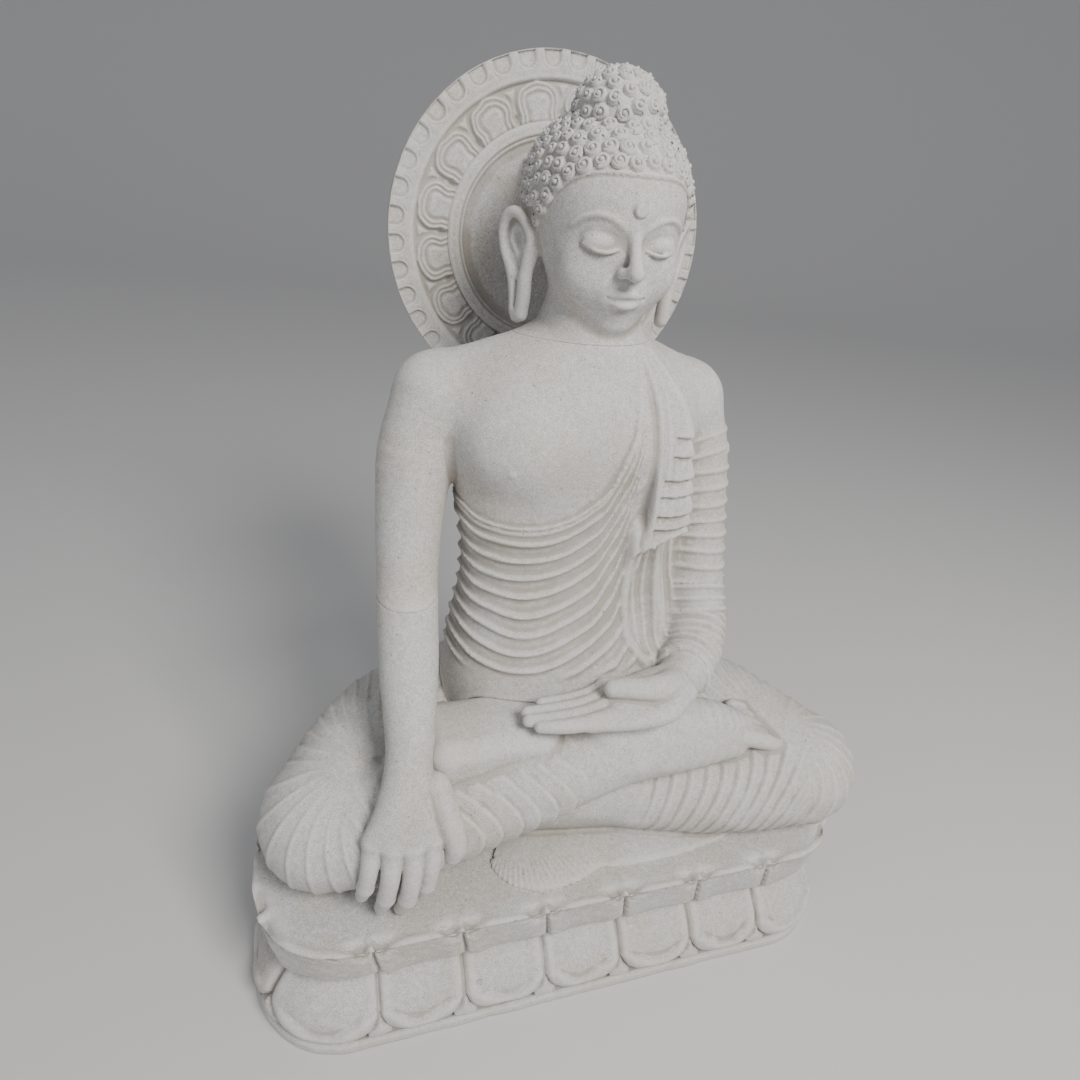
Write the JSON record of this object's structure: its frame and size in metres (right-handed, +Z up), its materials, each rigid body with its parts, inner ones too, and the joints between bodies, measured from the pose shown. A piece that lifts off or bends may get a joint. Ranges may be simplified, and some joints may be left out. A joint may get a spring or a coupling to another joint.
{
  "type": "buddha statue",
  "caption": "Seated stone figure making the earth-touching gesture on a lotus throne with a halo; stands on a floor or altar.",
  "frame": {"origin": "centre of the underside of the throne", "axes": "+Z up, the figure faces -Y, its own right hand is towards -X"},
  "size_m": [0.8913, 0.466, 1.2],
  "materials": {
    "stone": "rubbed fine sandstone, dry and matt",
    "mortar": "dry lime mortar",
    "steel": "plain bar"
  },
  "bodies": {
    "root": {"lotus_base": "stone", "lotus_seat": "stone", "lap_block": "stone", "torso_block": "stone", "right_forearm": "stone", "left_hand": "stone", "head_block": "stone", "halo_disc": "stone", "throne_bed": "mortar", "lap_bed": "mortar", "throne_dowel_front_right": "steel", "throne_dowel_back_right": "steel", "throne_dowel_front_left": "steel", "throne_dowel_back_left": "steel", "lap_dowel_right": "steel", "lap_dowel_left": "steel", "waist_dowel_right": "steel", "waist_dowel_left": "steel", "neck_dowel": "steel", "forearm_dowel": "steel", "left_hand_dowel": "steel", "halo_pin_upper": "steel", "halo_pin_lower_right": "steel", "halo_pin_lower_left": "steel"}
  },
  "joints": []
}
